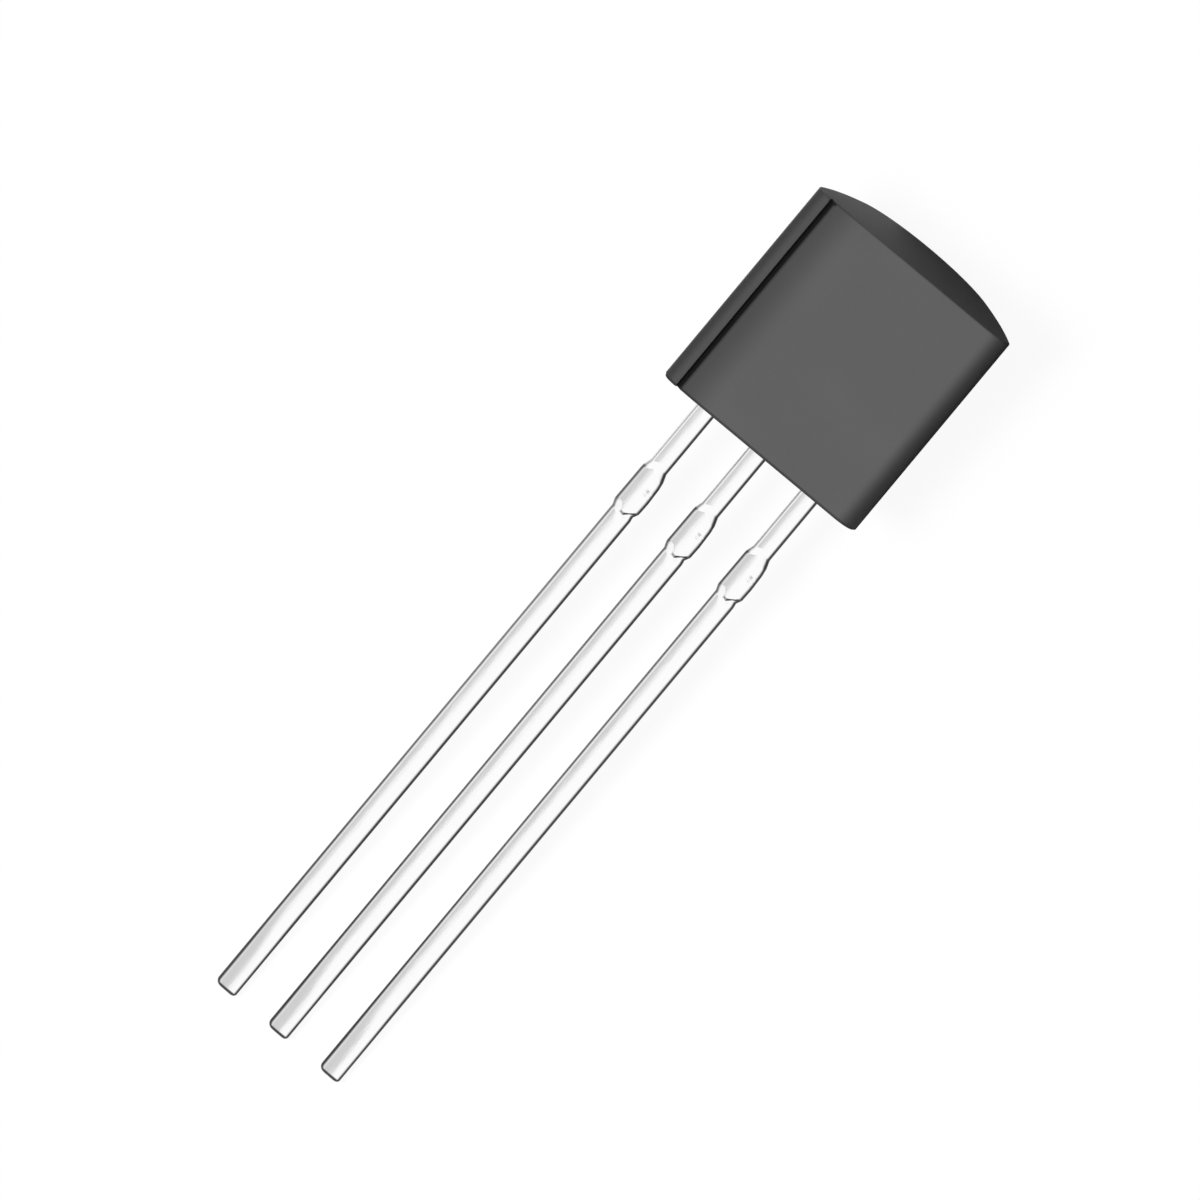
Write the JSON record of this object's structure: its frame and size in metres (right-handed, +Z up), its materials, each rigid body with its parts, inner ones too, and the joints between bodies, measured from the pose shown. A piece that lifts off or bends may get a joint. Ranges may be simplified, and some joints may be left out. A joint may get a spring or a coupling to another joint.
{
  "type": "to-92 transistor",
  "caption": "Small plastic transistor package with a flat front, a round back and straight flat-sheet leads with dam bar stubs.",
  "frame": {"origin": "middle of the lying part's footprint, on the surface that it lies on", "axes": "+X along the row of leads towards the collector, +Y from the lead tips towards the top of the moulding, +Z up, out of the flat face"},
  "size_m": [0.0046, 0.0192, 0.004],
  "materials": {
    "moulding": "satin",
    "tinned_sheet": "satin",
    "silicon": "gloss",
    "solder": "satin",
    "bond_wire": "gloss"
  },
  "bodies": {
    "root": {"body": "moulding", "emitter_lead": "tinned_sheet", "base_lead": "tinned_sheet", "collector_lead": "tinned_sheet", "die": "silicon", "die_bond": "solder", "emitter_wire": "bond_wire", "base_wire": "bond_wire"}
  },
  "joints": []
}
